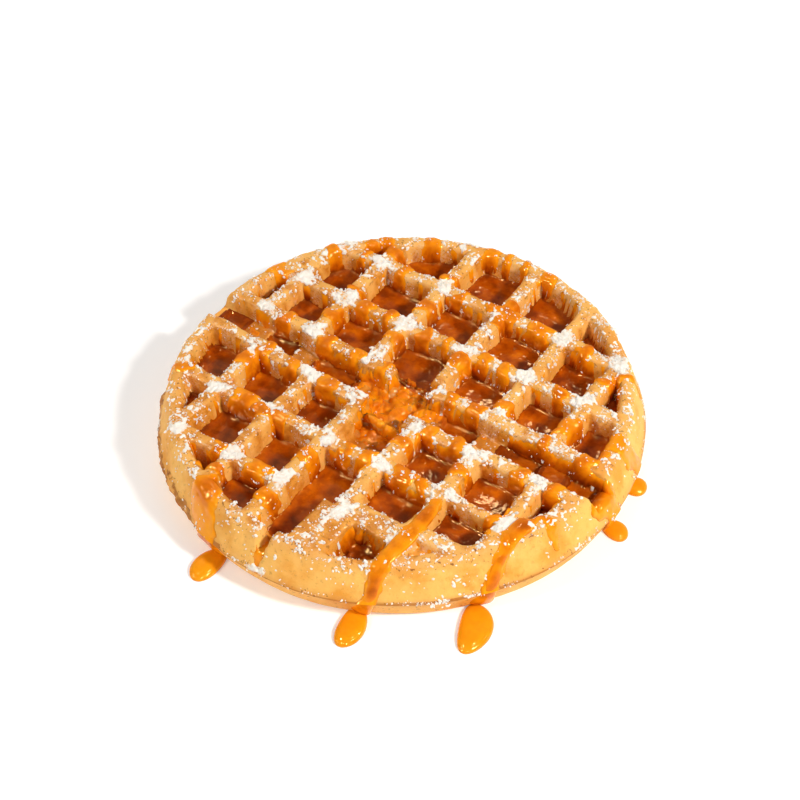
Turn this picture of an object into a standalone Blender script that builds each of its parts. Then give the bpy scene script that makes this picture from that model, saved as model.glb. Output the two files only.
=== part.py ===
"""A thick round waffle with syrup, resting on its lower face.

X runs across the ridges of the first set and Y across the second, so the wells
are square to both axes. Z is up and the waffle stands on z = 0. All sizes are
metres; MM turns a size in millimetres into metres.
"""

import math

import bpy
import numpy as np

MM = 0.001

# The round body: two flared plates' walls that meet at the parting ring.
TOP_Z = 24.2 * MM
PARTING_R, PARTING_Z = 90.2 * MM, 10.3 * MM
SHOULDER_R, SHOULDER_DROP = 85.6 * MM, 2.2 * MM
CROWN_R = 82.5 * MM
RIM_LEAN, RIM_LEAN_WAY = 1.4 * MM, math.radians(125.8)
FOOT_R, FOOT_ROUND = 86.8 * MM, 1.6 * MM
BODY_SEGMENTS = 64
WOBBLE = 0.5 * MM

# The upper wells: pitch, draft and rounding of the plate's studs.
RIDGE = 5.0 * MM
EDGE_ROUND = 2.0 * MM
FLOOR_ROUND = 1.5 * MM
WALL_CLEAR, LEAST_REACH = 0.8 * MM, 0.3 * MM
DRAFT = math.tan(math.radians(7.0))
CORNER = 2.6 * MM
WELL_DEPTH = 12.0 * MM
OVER = 2.0 * MM
RIM_IN_R = 81.6 * MM
SOUTH_X = (-58.0, -33.0, -9.7, 14.6, 40.7, 66.3)
NORTH_X = (-68.4, -46.0, -18.0, 9.3, 36.3, 60.5)
SOUTH_Y = (-11.5, -34.6, -59.6)
NORTH_Y = (6.0, 30.0, 55.0)
OPEN_END = 120.0
WELL_POINTS = 12
SMALLEST_WELL = 2.2 * MM

# The groove that parts the two halves, the open middle and the trough to the rim.
GROOVE_DEPTH = 7.6 * MM
GROOVE_SPREAD = 3.2
SILLS_X = (-68.5, -43.5, 38.5, 66.5)
SILL = 5.0
SUMP_RIM_R = 86.0 * MM
SUMP_INSET = 0.35
MIDDLE = (-9.5, 11.5, -17.0, 12.0)
MIDDLE_DEPTH = 9.4 * MM
TROUGH = (-9.7, 14.6, -34.6, -60.0)
TROUGH_END = (-9.7, 9.0, -50.0, -83.0)
NOTCH = (-3.4, 4.4, -76.0, -100.0)
TROUGH_MIDDLE = (-4.0, 4.0, -70.0, -50.0)
TROUGH_POINTS = 22

# The lower wells: an even grid with a crossing of ridges at the centre.
UNDER_PITCH = 25.0
UNDER_RIDGE = 5.0
UNDER_DEPTH = 7.6 * MM
UNDER_ROUND = 1.2 * MM
UNDER_RIM_R = 82.5 * MM
UNDER_POINTS = 9
UNDER_SMALLEST = 2.6 * MM
UNDER_SLOPE = 0.2

# The syrup: depth of the pools' faces, and the drizzle that crosses the ridges.
GAP = 0.3 * MM
POOL_DROP, POOL_VARIES = 9.0 * MM, 0.7 * MM
BAND_THICK, BAND_W = 1.1 * MM, 5.0 * MM
DRIP_THICK = 1.6 * MM
PUDDLE_HIGH = 2.6 * MM
PUDDLE_POINTS = 14
BAND_FOOT = POOL_DROP - POOL_VARIES - 0.5 * MM
RIBBON_SIDES = 6
DRIP_STATIONS, RUN_STATIONS = 6, 5
DRIP_FOOT_Z = 1.2
RUN_START, RUN_END, RUN_HALF_W = (41.6, -40.0), (41.6, -71.5), 2.9

# Wells that the baking left out of line: limits and depth in millimetres.
UNEVEN_WELLS = (
    ("s1_3", (-8.6, 13.5, -33.5, -12.6), 9.6),
    ("s2_4", (15.7, 39.6, -54.6, -35.7), 12.0),
    ("s2_5", (41.8, 65.2, -51.5, -34.0), 11.0),
    ("s3_4", (22.0, 39.0, -81.0, -57.5), 10.5),
    ("s3_5", (43.5, 60.0, -66.0, -54.5), 3.2),
    ("n2_0", (-80.0, -71.5, 32.5, 42.0), 6.0),
)
# The one whose bake broke through the top of the rim.
RAGGED, RAGGED_RIM_R = "s3_4", 84.4 * MM
# Wells with no syrup, crumbled or too shallow to hold it.
CRUMBLED = ("s1_3", "s3_4", "s3_5", "n2_0", "s3_1")

# Where bands of syrup cross each ridge: its row, the ridge's place, and the places along it.
BANDS_ACROSS_Y = (
    (55.0, (-54.5, -36.0, -8.5, 12.0, 26.0, 47.0)),
    (30.0, (-36.5, -25.5, -8.5, 18.0, 27.0, 50.0)),
    (6.0, (-37.0, -24.0, 18.5, 29.5, 58.0)),
    (-11.5, (-41.0, -24.0, 21.5, 32.5, 59.0)),
    (-34.6, (-45.0, 0.5, 25.0, 33.5)),
)
BANDS_ACROSS_X = (
    (-46.0, (62.0, 19.0)),
    (-18.0, (42.0, 21.0)),
    (9.3, (24.0,)),
    (36.3, (13.0,)),
    (60.5, (18.0,)),
    (-58.0, (-19.0,)),
    (-9.7, (-46.0, -69.0)),
    (14.6, (-22.5,)),
    (40.7, (-22.5,)),
)

# Drips down the side: angle at the top and at the foot, width, and top height (degrees, mm).
DRIPS = (
    (-59.8, -64.5, 6.0, 23.0),
    (-30.5, -37.0, 6.5, 23.0),
    (-110.0, -104.5, 12.5, 22.5),
    (-1.0, 1.8, 7.5, 15.0),
    (12.7, 15.5, 5.0, 22.5),
)
# Puddles: angle and distance of the middle, length along the radius, width, lean of the outer end.
PUDDLES = (
    (-65.9, 92.0, 18.4, 11.4, -2.5),
    (-39.3, 95.0, 19.5, 15.0, -7.0),
    (-103.6, 92.3, 16.8, 11.4, 1.8),
    (1.5, 90.3, 11.0, 9.5, -1.5),
    (15.5, 89.3, 9.4, 10.0, 0.0),
)

WAFFLE = ("crust", (0.93, 0.55, 0.20, 1.0), 0.72)
SYRUP = ("syrup", (0.55, 0.14, 0.01, 1.0), 0.08)


def material(name, colour, roughness):
    """Principled material of one colour."""
    made = bpy.data.materials.new(name)
    made.use_nodes = True
    shader = made.node_tree.nodes["Principled BSDF"]
    shader.inputs["Base Color"].default_value = colour
    shader.inputs["Roughness"].default_value = roughness
    shader.inputs["Metallic"].default_value = 0.0
    return made


def mesh_object(name, points, faces, where=None):
    """Object with this mesh, linked to the scene or to the collection given."""
    mesh = bpy.data.meshes.new(name)
    mesh.from_pydata([tuple(map(float, p)) for p in points], [], faces)
    mesh.validate()
    made = bpy.data.objects.new(name, mesh)
    (where or bpy.context.scene.collection).objects.link(made)
    return made


def loft(rings, start=0):
    """Points and faces of a body through rings of equal count, its ends closed by flat caps."""
    count = len(rings[0])
    faces = [tuple(start + i for i in reversed(range(count)))]
    for level in range(len(rings) - 1):
        a, b = start + level * count, start + (level + 1) * count
        faces += [(a + i, a + (i + 1) % count, b + (i + 1) % count, b + i) for i in range(count)]
    faces.append(tuple(start + (len(rings) - 1) * count + i for i in range(count)))
    return np.concatenate(rings), faces


def lofted(name, bodies, where=None):
    """One object that holds several separate lofts."""
    points, faces, start = [], [], 0
    for rings in bodies:
        more, sides = loft(rings, start)
        points.append(more)
        faces += sides
        start += len(more)
    return mesh_object(name, np.concatenate(points), faces, where)


def at_height(outline, z):
    """The flat outline as a ring of points at height z."""
    return np.column_stack([outline, np.full(len(outline), z)])


# Outlines of wells, as distances below zero inside


def box_field(x0, x1, y0, y1, corner=CORNER):
    """Distance to a rectangle with rounded corners, its limits in millimetres in any order."""
    limits = np.array([sorted((x0, x1)), sorted((y0, y1))]) * MM
    centre, half = limits.mean(axis=1), np.ptp(limits, axis=1) / 2 - corner

    def field(p):
        q = np.abs(p - centre) - half
        return np.hypot(*np.maximum(q, 0).T) + np.minimum(q.max(axis=1), 0) - corner

    return field


def disc_field(radius, centre=(0.0, 0.0)):
    """Distance to a disc."""
    return lambda p: np.hypot(p[:, 0] - centre[0], p[:, 1] - centre[1]) - radius


def within(*fields):
    """What all the fields share."""
    return lambda p: np.max([field(p) for field in fields], axis=0)


def either(*fields):
    """What any of the fields holds."""
    return lambda p: np.min([field(p) for field in fields], axis=0)


def ray_outline(field, centre, angles, inset):
    """The outline of the field, moved in by inset, met by rays from the centre."""
    ray = np.column_stack([np.cos(angles), np.sin(angles)])
    near, far = np.zeros(len(angles)), np.full(len(angles), 130 * MM)
    for _ in range(36):
        middle = (near + far) / 2
        inside = field(centre + ray * middle[:, None]) < -inset
        near, far = np.where(inside, middle, near), np.where(inside, far, middle)
    return centre + ray * near[:, None]


def deepest(field, limits):
    """The point of the limits (millimetres) farthest inside the field, and how far that is."""
    x, y = (np.linspace(a, b, 61) * MM for a, b in (limits[:2], limits[2:]))
    p = np.stack(np.meshgrid(x, y), axis=-1).reshape(-1, 2)
    value = field(p)
    best = p[value < value.min() + 0.3 * MM].mean(axis=0)
    return best, -value.min()


def telling_angles(field, centre, count, inset):
    """The rays that keep the outline's shape best, found by dropping the flattest corners first."""
    angles = list(np.linspace(-math.pi, math.pi, 120, endpoint=False))
    points = [tuple(p) for p in ray_outline(field, centre, np.array(angles), inset)]
    while len(angles) > count:
        area = []
        for i, (x, y) in enumerate(points):
            (ax, ay), (bx, by) = points[i - 1], points[(i + 1) % len(points)]
            area.append(abs((x - ax) * (by - ay) - (y - ay) * (bx - ax)))
        flattest = int(np.argmin(area))
        del angles[flattest], points[flattest]
    return np.array(angles)


# Wells


def stud_profile(depth, scale=1.0):
    """(inset, depth) down one wall: rounded edge, drafted face, rounded foot."""
    edge, foot = EDGE_ROUND, FLOOR_ROUND
    wall = 0.97 * edge + DRAFT * (depth - 0.85 * edge - foot)
    steps = [(0.0, 0.0), (0.707 * edge, 0.293 * edge), (0.97 * edge, 0.85 * edge)]
    steps += [(wall, depth - foot), (wall + 0.8 * foot, depth)]
    return [(inset * scale, drop) for inset, drop in steps]


def inset_at(profile, drop):
    """The wall's inset at a depth."""
    return float(np.interp(drop, [d for _, d in profile], [i for i, _ in profile]))


class Well:
    """One stud's print in the upper face, from its outline, depth and share of the full insets."""

    def __init__(self, field, limits, depth, count=WELL_POINTS):
        self.field, self.depth = field, depth
        self.centre, reach = deepest(field, limits)
        full = stud_profile(depth)[-1][0]
        self.scale = min(1.0, max(reach - WALL_CLEAR, LEAST_REACH) / full)
        self.profile = stud_profile(depth, self.scale)
        middle = self.profile[2][0]
        self.angles = telling_angles(field, self.centre, count, middle)

    def outline(self, inset):
        return ray_outline(self.field, self.centre, self.angles, inset)

    def cutter(self):
        """Rings of the cutter, from the floor up to just over the upper face."""
        rings = [at_height(self.outline(i), TOP_Z - d) for i, d in reversed(self.profile)]
        return rings + [at_height(self.outline(0.0), TOP_Z + OVER)]

    def pool(self, drop):
        """Rings of the syrup in the well, a gap clear of its walls and floor."""
        low, high = self.profile[-1][0] + GAP, inset_at(self.profile, drop) + GAP
        bottom = TOP_Z - self.depth + GAP
        return [at_height(self.outline(low), bottom), at_height(self.outline(high), TOP_Z - drop)]


def spans(ridges, width):
    """Gaps between ridges (millimetres), with an open one at each end."""
    half = width / 2
    edges = [-OPEN_END] + [e for r in ridges for e in (r - half, r + half)] + [OPEN_END]
    return list(zip(edges[::2], edges[1::2]))


FLAT = RIDGE / MM - 1.414 * EDGE_ROUND / MM
LEAN = np.array([math.cos(RIM_LEAN_WAY), math.sin(RIM_LEAN_WAY)]) * RIM_LEAN
RIM = disc_field(RIM_IN_R, LEAN)


def channel_shift(x):
    """How far the groove's two banks lie north of their places at x, for the skew at its west end."""
    return GROOVE_SPREAD * min(1.0, max(0.0, (-x - 36.0) / 24.0))


def row_of_wells(ridges_x, y_low, y_high, skip=()):
    """The wells of one row that are large enough, keyed by their place in the row."""
    found = {}
    for place, (x0, x1) in enumerate(spans(ridges_x, FLAT)):
        if place in skip:
            continue
        shift = channel_shift((max(x0, -80.0) + min(x1, 80.0)) / 2)
        y0 = y_low + (shift if 0 < y_low < 20 else 0)
        y1 = y_high + (shift if -20 < y_high < 0 else 0)
        limits = (max(x0, -85.0), min(x1, 85.0), max(y0, -85.0), min(y1, 85.0))
        field = within(box_field(x0, x1, y0, y1), RIM)
        _, reach = deepest(field, limits)
        if reach > SMALLEST_WELL:
            found[place] = Well(field, limits, WELL_DEPTH)
    return found


def upper_wells():
    """All the square wells of the upper face, keyed by row and place."""
    half = FLAT / 2
    south, north = SOUTH_Y, NORTH_Y
    rows = {
        "s1": row_of_wells(SOUTH_X, south[1] + half, south[0] - half, skip=(3,)),
        "s2": row_of_wells(SOUTH_X, south[2] + half, south[1] - half, skip=(3, 4, 5, 6)),
        "s3": row_of_wells(SOUTH_X, -OPEN_END, south[2] - half, skip=(0, 3, 4, 5, 6)),
        "n1": row_of_wells(NORTH_X, north[0] + half, north[1] - half),
        "n2": row_of_wells(NORTH_X, north[1] + half, north[2] - half, skip=(0,)),
        "n3": row_of_wells(NORTH_X, north[2] + half, OPEN_END),
    }
    wells = {f"{row}_{place}": well for row, found in rows.items() for place, well in found.items()}
    for name, limits, depth in UNEVEN_WELLS:
        rim = disc_field(RAGGED_RIM_R, LEAN) if name == RAGGED else RIM
        wells[name] = Well(within(box_field(*limits), rim), limits, depth * MM)
    return wells


def trough_field():
    """The trough from the first cross ridge to the rim, narrow towards the rim."""
    x0, x1, y0, y1 = TROUGH
    half = FLAT / 2
    wide = box_field(x0 + half, x1 - half, y0 - half, y1)
    narrow = box_field(TROUGH_END[0] + half, *TROUGH_END[1:])
    return within(either(wide, narrow), RIM)


def trough_well():
    """The trough with the notch through the rim that lets syrup out."""
    field = either(trough_field(), box_field(*NOTCH, corner=1.2 * MM))
    return Well(field, TROUGH_MIDDLE, WELL_DEPTH, TROUGH_POINTS)


def trough_pond(trough):
    """The trough without its notch, which holds the syrup, cornered like the trough."""
    pond = Well(trough_field(), TROUGH_MIDDLE, WELL_DEPTH, TROUGH_POINTS)
    pond.centre, pond.angles = trough.centre, trough.angles
    return pond


def middle_well():
    """The open place at the middle, where the baked ridges are missing."""
    return Well(box_field(*MIDDLE), MIDDLE, MIDDLE_DEPTH)


def groove_banks(x):
    """The groove's two edges (millimetres) at x."""
    shift, half = channel_shift(x), FLAT / 2
    return SOUTH_Y[0] + half + shift, NORTH_Y[0] - half + shift


def groove_rings(stations, profile):
    """Cross-sections of the groove at the stations, which run along X."""
    rings = []
    for x in stations:
        y0, y1 = (y * MM for y in groove_banks(x))
        left = [(y0 + i, TOP_Z - d) for i, d in profile]
        right = [(y1 - i, TOP_Z - d) for i, d in reversed(profile)]
        rings.append(np.array([(x * MM, y, z) for y, z in left + right]))
    return rings


def groove_cutter():
    """The shallow groove from rim to rim."""
    profile = [(0.0, -OVER)] + stud_profile(GROOVE_DEPTH)
    return groove_rings((-110, -62, -50, -36, 110), profile)


def sump_wells():
    """The deeper wells in the groove, between its sills."""
    spots = [(-90.0, SILLS_X[0]), (SILLS_X[0], SILLS_X[1]), (SILLS_X[1], -15.0)]
    spots += [(14.0, SILLS_X[2]), (SILLS_X[2], SILLS_X[3]), (SILLS_X[3], 90.0)]
    found = {}
    for place, (x0, x1) in enumerate(spots):
        y0, y1 = groove_banks((x0 + x1) / 2)
        x0, x1 = x0 + SILL / 2 * (x0 > -90), x1 - SILL / 2 * (x1 < 90)
        box = box_field(x0, x1, y0 + SUMP_INSET, y1 - SUMP_INSET)
        limits = (max(x0, -84), min(x1, 84), y0, y1)
        field = within(box, disc_field(SUMP_RIM_R))
        found[f"g_{place}"] = Well(field, limits, WELL_DEPTH - 0.4 * MM)
    return found


def under_cutters():
    """The lower face's wells, cut upward from z = 0."""
    half = (UNDER_PITCH - UNDER_RIDGE) / 2
    rim = disc_field(UNDER_RIM_R)
    bodies = []
    for i in range(-4, 4):
        for j in range(-4, 4):
            x, y = (i + 0.5) * UNDER_PITCH, (j + 0.5) * UNDER_PITCH
            limits = (x - half, x + half, y - half, y + half)
            field = within(box_field(*limits), rim)
            centre, reach = deepest(field, limits)
            if reach < UNDER_SMALLEST:
                continue
            slope = UNDER_DEPTH * UNDER_SLOPE
            scale = min(1.0, (reach - 1.0 * MM) / (UNDER_ROUND + slope))
            angles = telling_angles(field, centre, UNDER_POINTS, scale * UNDER_ROUND)
            steps = [(0.0, -OVER), (0.0, 0.0), (UNDER_ROUND, UNDER_ROUND)]
            steps.append((UNDER_ROUND + slope, UNDER_DEPTH))
            bodies.append([at_height(ray_outline(field, centre, angles, inset * scale), z)
                           for inset, z in steps])
    return bodies


# The body


def wobble(angle):
    """The rim's unevenness, a few slow waves round it."""
    return WOBBLE * (0.6 * np.sin(2 * angle + 0.7) + 0.4 * np.sin(5 * angle + 2.1))


def body_profile():
    """(radius, height) from the crown down the side to the foot."""
    shoulder_z = TOP_Z - SHOULDER_DROP
    return [
        (CROWN_R, TOP_Z),
        (SHOULDER_R - 1.1 * MM, shoulder_z + 1.5 * MM),
        (SHOULDER_R, shoulder_z),
        (PARTING_R - 0.9 * MM, PARTING_Z + 1.3 * MM),
        (PARTING_R, PARTING_Z),
        (PARTING_R - 0.7 * MM, PARTING_Z - 1.2 * MM),
        (FOOT_R, FOOT_ROUND),
        (FOOT_R - FOOT_ROUND, 0.0),
    ]


def lean_share(z):
    """How much of the rim's lean to one side the body has at a height."""
    return min(1.0, max(0.0, (z - PARTING_Z) / (TOP_Z - SHOULDER_DROP - PARTING_Z)))


def body():
    """The turned body before any well is cut."""
    angle = np.linspace(0, 2 * math.pi, BODY_SEGMENTS, endpoint=False)
    rings = []
    for radius, z in reversed(body_profile()):
        r = radius + wobble(angle)
        outline = np.column_stack([r * np.cos(angle), r * np.sin(angle)]) + LEAN * lean_share(z)
        rings.append(at_height(outline, z))
    return lofted("waffle", [rings])


def side_radius(z, angle):
    """Radius of the side at height z and this angle."""
    profile = sorted((z, r) for r, z in body_profile())
    radius = float(np.interp(z, [p[0] for p in profile], [p[1] for p in profile]))
    return radius + RIM_LEAN * lean_share(z) * math.cos(angle - RIM_LEAN_WAY)


# Drizzle over ridges


def band_rings(place, along, across_y):
    """Cross-sections of a band of syrup laid over a ridge, thin at both sides."""
    profile = stud_profile(WELL_DEPTH)
    flat = FLAT / 2 * MM
    half_w = BAND_W / 2
    rings = []
    for step, thick in ((-1, -0.5), (-0.5, 1), (0.5, 1), (1, -0.5)):
        t = thick * BAND_THICK
        reach = [(flat + inset_at(profile, d) + t, TOP_Z - d) for d in (BAND_FOOT, 2.2 * MM)]
        reach.append((flat + 0.4 * EDGE_ROUND, TOP_Z + t))
        section = [(-r, z) for r, z in reach] + [(r, z) for r, z in reversed(reach)]
        s = along * MM + step * half_w
        if across_y:
            rings.append(np.array([(s, place * MM + r, z) for r, z in section]))
        else:
            rings.append(np.array([(place * MM + r, s, z) for r, z in section]))
    return rings


def drip_rings(top_angle, foot_angle, width, top_z):
    """Half-sunk rounded ribbon that runs down the side."""
    rings = []
    for i, z in enumerate(np.linspace(top_z, DRIP_FOOT_Z, DRIP_STATIONS)):
        share = i / (DRIP_STATIONS - 1)
        angle = math.radians(top_angle + (foot_angle - top_angle) * share ** 1.3)
        r = side_radius(z * MM, angle)
        thick = DRIP_THICK * (0.55 + 0.45 * math.sin(math.pi * min(1.0, 0.25 + share)))
        half = width * MM / 2 * (0.85 + 0.2 * math.sin(6.0 * share + top_angle))
        out = np.array([math.cos(angle), math.sin(angle)])
        side = np.array([-out[1], out[0]])
        section = []
        for turn in np.linspace(0, 2 * math.pi, RIBBON_SIDES, endpoint=False):
            p = out * (r + thick * math.cos(turn)) + side * half * math.sin(turn)
            section.append((p[0], p[1], z * MM))
        rings.append(np.array(section))
    return rings[::-1]


def front_drip_rings():
    """The first drip's start, a long ridge of syrup that runs out along the upper face."""
    start, end = np.array(RUN_START), np.array(RUN_END)
    along = (end - start) / np.hypot(*(end - start))
    side = np.array([-along[1], along[0]])
    rings = []
    for share in np.linspace(0, 1, RUN_STATIONS):
        swell = 0.75 + 0.3 * math.sin(math.pi * share)
        middle = start + (end - start) * share
        section = []
        for turn in np.linspace(0, 2 * math.pi, RIBBON_SIDES, endpoint=False):
            p = middle + side * RUN_HALF_W * swell * math.cos(turn)
            z = TOP_Z - 0.3 * MM - 1.2 * MM * math.sin(turn) * swell
            section.append((p[0] * MM, p[1] * MM, z))
        rings.append(np.array(section))
    return rings


def puddle_rings(angle, distance, length, width, lean):
    """A flat-bottomed drop on the table, its outer end round and leaning to one side."""
    turn = np.linspace(0, 2 * math.pi, PUDDLE_POINTS, endpoint=False)
    out = np.array([math.cos(math.radians(angle)), math.sin(math.radians(angle))])
    side = np.array([-out[1], out[0]])
    share = np.cos(turn)
    breadth = (0.86 + 0.14 * share) * width / 2 * np.sin(turn)
    along = distance + share * length / 2
    across = breadth + lean * ((share + 1) / 2) ** 2
    outline = (along[:, None] * out + across[:, None] * side) * MM
    middle = outline.mean(axis=0)
    steps = ((0.95, 0.0), (1.0, 0.22), (0.96, 0.5), (0.78, 0.82), (0.42, 1.0))
    return [at_height(middle + (outline - middle) * scale, PUDDLE_HIGH * high)
            for scale, high in steps]


def syrup_on_top():
    """A collection that holds every piece of thick syrup to be fused to the waffle."""
    held = bpy.data.collections.new("thick_syrup")
    bpy.context.scene.collection.children.link(held)
    pieces = [band_rings(y, x, True) for y, places in BANDS_ACROSS_Y for x in places]
    pieces += [band_rings(x, y, False) for x, places in BANDS_ACROSS_X for y in places]
    pieces += [drip_rings(*drip) for drip in DRIPS]
    pieces += [puddle_rings(*puddle) for puddle in PUDDLES]
    pieces.append(front_drip_rings())
    for number, rings in enumerate(pieces):
        face_out(lofted(f"syrup_piece_{number}", [rings], held))
    return held


# Assembly


def face_out(made):
    """Turns a closed object's faces round where its volume comes out negative."""
    mesh = made.data
    mesh.calc_loop_triangles()
    corners = np.array([[mesh.vertices[i].co[:] for i in t.vertices] for t in mesh.loop_triangles])
    if np.linalg.det(corners).sum() < 0:
        mesh.flip_normals()
    return made


def boolean(target, operation, operand, solver="EXACT"):
    """Applies one Boolean with an object or a collection, then removes the operand's objects."""
    step = target.modifiers.new("step", "BOOLEAN")
    step.operation, step.solver = operation, solver
    if isinstance(operand, bpy.types.Collection):
        step.operand_type, step.collection = "COLLECTION", operand
        used = list(operand.objects)
    else:
        step.object = operand
        used = [operand]
    with bpy.context.temp_override(object=target, active_object=target):
        bpy.ops.object.modifier_apply(modifier=step.name)
    for spent in used:
        bpy.data.objects.remove(spent)


def build():
    crust, syrup = material(*WAFFLE), material(*SYRUP)
    wells, sumps = upper_wells(), sump_wells()
    trough, middle = trough_well(), middle_well()

    waffle = body()
    cutters = [well.cutter() for well in wells.values()] + under_cutters()
    boolean(waffle, "DIFFERENCE", face_out(lofted("well_cutters", cutters)))
    boolean(waffle, "DIFFERENCE", face_out(lofted("groove_cutter", [groove_cutter()])))
    deep = [well.cutter() for well in sumps.values()]
    boolean(waffle, "DIFFERENCE", face_out(lofted("sump_cutters", deep)))
    rest = [trough.cutter(), middle.cutter()]
    boolean(waffle, "DIFFERENCE", face_out(lofted("rest_cutters", rest)))
    boolean(waffle, "UNION", syrup_on_top())
    waffle.data.materials.append(crust)

    random = np.random.default_rng(7)
    ponds = {name: well for name, well in (wells | sumps).items() if name not in CRUMBLED}
    ponds["trough"] = trough_pond(trough)
    for name, well in ponds.items():
        drop = POOL_DROP + POOL_VARIES * random.uniform(-1, 1)
        made = face_out(lofted(f"syrup_{name}", [well.pool(drop)]))
        made.data.materials.append(syrup)


for old in list(bpy.data.objects):
    bpy.data.objects.remove(old)
build()
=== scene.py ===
import math

import bmesh
import bpy
import numpy as np
from mathutils import Matrix, Vector


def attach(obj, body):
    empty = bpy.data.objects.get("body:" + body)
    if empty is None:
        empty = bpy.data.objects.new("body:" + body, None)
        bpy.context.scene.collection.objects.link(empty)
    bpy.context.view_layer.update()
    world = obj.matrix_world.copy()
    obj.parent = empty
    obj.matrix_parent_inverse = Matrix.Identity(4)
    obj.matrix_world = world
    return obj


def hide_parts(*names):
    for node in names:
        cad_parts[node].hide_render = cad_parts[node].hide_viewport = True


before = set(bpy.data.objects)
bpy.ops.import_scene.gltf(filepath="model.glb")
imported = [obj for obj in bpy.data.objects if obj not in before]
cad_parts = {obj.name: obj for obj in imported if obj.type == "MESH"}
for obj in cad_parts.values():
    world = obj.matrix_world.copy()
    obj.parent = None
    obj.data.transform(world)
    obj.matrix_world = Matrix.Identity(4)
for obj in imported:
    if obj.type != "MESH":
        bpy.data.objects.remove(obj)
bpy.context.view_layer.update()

# The camera and the studio
# A waffle on a white table, seen from above and in front with a long lens. A key lamp stands at
# the right, a broad soft one behind and a weaker one at the left, and small ones that light nothing
# but glint in the syrup.

CAMERA_WAY = math.radians(54.16)
CAMERA_FAR, CAMERA_UP, CAMERA_ROLL = 0.6463, math.radians(46.5), math.radians(-1.98)

flat_way = Vector((math.cos(CAMERA_WAY), -math.sin(CAMERA_WAY), 0))
back = flat_way * math.cos(CAMERA_UP) + Vector((0, 0, math.sin(CAMERA_UP)))
right = Vector((math.sin(CAMERA_WAY), math.cos(CAMERA_WAY), 0))
up = back.cross(right)
turn_c, turn_s = math.cos(CAMERA_ROLL), math.sin(CAMERA_ROLL)
axes = (right * turn_c + up * turn_s, up * turn_c - right * turn_s, back)

lens = bpy.data.cameras.new("camera")
lens.sensor_width, lens.lens = 36.0, 77.2
lens.shift_x, lens.shift_y = -0.0028, 0.0415
camera = bpy.data.objects.new("camera", lens)
bpy.context.scene.collection.objects.link(camera)
camera.matrix_world = Matrix.Translation(back * CAMERA_FAR) @ Matrix(axes).transposed().to_4x4()
bpy.context.scene.camera = camera


def soft_light(name, place, size, watts, colour):
    """A square lamp at the place, turned to the middle of the waffle."""
    lamp = bpy.data.lights.new(name, "AREA")
    lamp.shape, lamp.size, lamp.energy, lamp.color = "SQUARE", size, watts, colour
    lamp_object = bpy.data.objects.new(name, lamp)
    bpy.context.scene.collection.objects.link(lamp_object)
    lamp_object.location = place
    lamp_object.rotation_euler = (-Vector(place)).to_track_quat("-Z", "Y").to_euler()
    return lamp_object


def beside(along_right, along_front, height):
    """A place given as seen from the camera: to its right, towards it, and up."""
    return right * along_right + flat_way * along_front + Vector((0, 0, height))


soft_light("key", beside(0.75, 0.5, 0.8), 0.14, 12.6, (1.0, 0.965, 0.92))
rear = soft_light("rear", beside(-0.25, -0.95, 0.85), 0.95, 4.0, (1.0, 0.98, 0.96))
rear.visible_glossy = False
soft_light("rear_glow", beside(-0.3, -0.95, 0.95), 0.4, 0.25, (1.0, 0.88, 0.72))
soft_light("left", beside(-0.95, 0.4, 0.7), 0.14, 4.6, (1.0, 0.975, 0.95))
SPARK_SIZE, SPARK_COLOUR, CM = 0.08, (1.0, 0.94, 0.82), 0.01
# Each lamp's place in centimetres to the right, to the front and up, and its watts.
SPARKS = ((62, 62, 80, 8), (-80, 55, 80, 8), (20, 95, 60, 4), (-35, 70, 100, 4), (95, 5, 75, 4),
          (-100, 0, 70, 4), (45, 10, 110, 3), (-45, -10, 110, 3), (10, -80, 90, 0.5))
for number, (to_right, to_front, height, watts) in enumerate(SPARKS):
    place = beside(to_right * CM, to_front * CM, height * CM)
    spark = soft_light(f"spark_{number}", place, SPARK_SIZE, watts, SPARK_COLOUR)
    spark.visible_diffuse = False

sky = bpy.data.worlds.new("studio")
sky.use_nodes = True
sky.node_tree.nodes["Background"].inputs["Color"].default_value = (1.0, 0.99, 0.98, 1)
sky.node_tree.nodes["Background"].inputs["Strength"].default_value = 0.3
bpy.context.scene.world = sky
bpy.context.scene.view_settings.view_transform = "Standard"

MM = 0.001


def make_piece(name, points, faces, smooth=True):
    """A mesh object from points in millimetres and rows of corner numbers."""
    mesh = bpy.data.meshes.new(name)
    faces = np.asarray(faces, dtype=np.int32)
    sides = faces.shape[1]
    mesh.vertices.add(len(points))
    mesh.vertices.foreach_set("co", (np.asarray(points) * MM).astype(np.float32).ravel())
    mesh.loops.add(faces.size)
    mesh.loops.foreach_set("vertex_index", faces.ravel())
    mesh.polygons.add(len(faces))
    mesh.polygons.foreach_set("loop_start", np.arange(0, faces.size, sides, dtype=np.int32))
    mesh.polygons.foreach_set("use_smooth", np.full(len(faces), smooth))
    mesh.update(calc_edges=True)
    made = bpy.data.objects.new(name, mesh)
    bpy.context.scene.collection.objects.link(made)
    return made


def grid_faces(rows, columns, wrap=False):
    """Four-cornered faces of a grid of points, facing the side where rows cross columns upward."""
    across = columns if wrap else columns - 1
    i, j = np.meshgrid(np.arange(rows - 1), np.arange(across), indexing="ij")
    k = (j + 1) % columns
    corners = (i * columns + j, i * columns + k, (i + 1) * columns + k, (i + 1) * columns + j)
    return np.stack(corners, axis=-1).reshape(-1, 4)


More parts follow.
